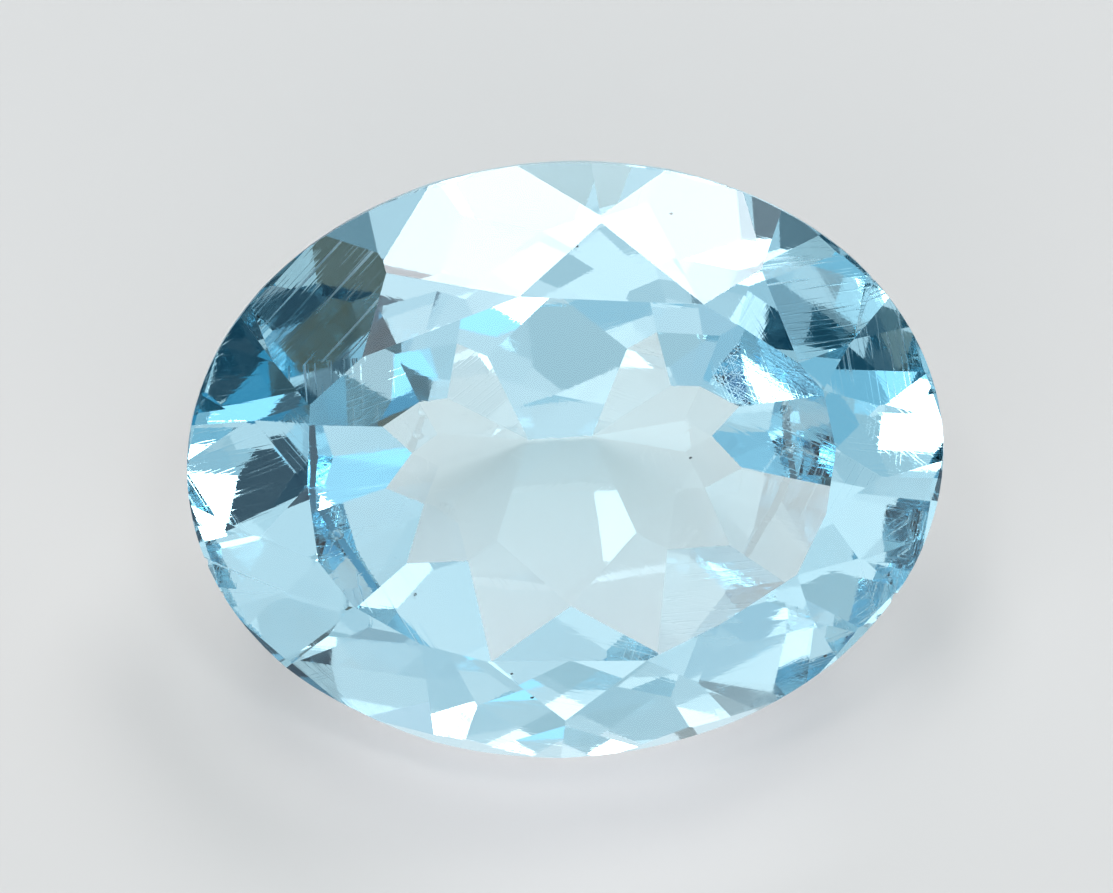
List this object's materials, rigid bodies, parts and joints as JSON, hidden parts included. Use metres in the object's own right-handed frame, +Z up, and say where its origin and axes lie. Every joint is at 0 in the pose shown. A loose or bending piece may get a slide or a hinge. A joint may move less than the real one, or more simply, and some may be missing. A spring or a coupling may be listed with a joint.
{
  "type": "oval cut topaz gemstone",
  "caption": "Loose oval faceted gemstone in pale sky blue, clear, with a large flat table, a faceted crown and a faceted pavilion down to a short keel.",
  "frame": {"origin": "middle of the bounding box at floor level, with the stone lying on one keel facet of its pavilion", "axes": "+X along the stone's long axis, +Z up from the floor, the table facing up and towards -Y"},
  "size_m": [0.01, 0.0068, 0.0052],
  "materials": {
    "topaz": "polished, lightly scratched, very pale blue"
  },
  "bodies": {
    "root": {"oval_topaz": "topaz"}
  },
  "joints": []
}
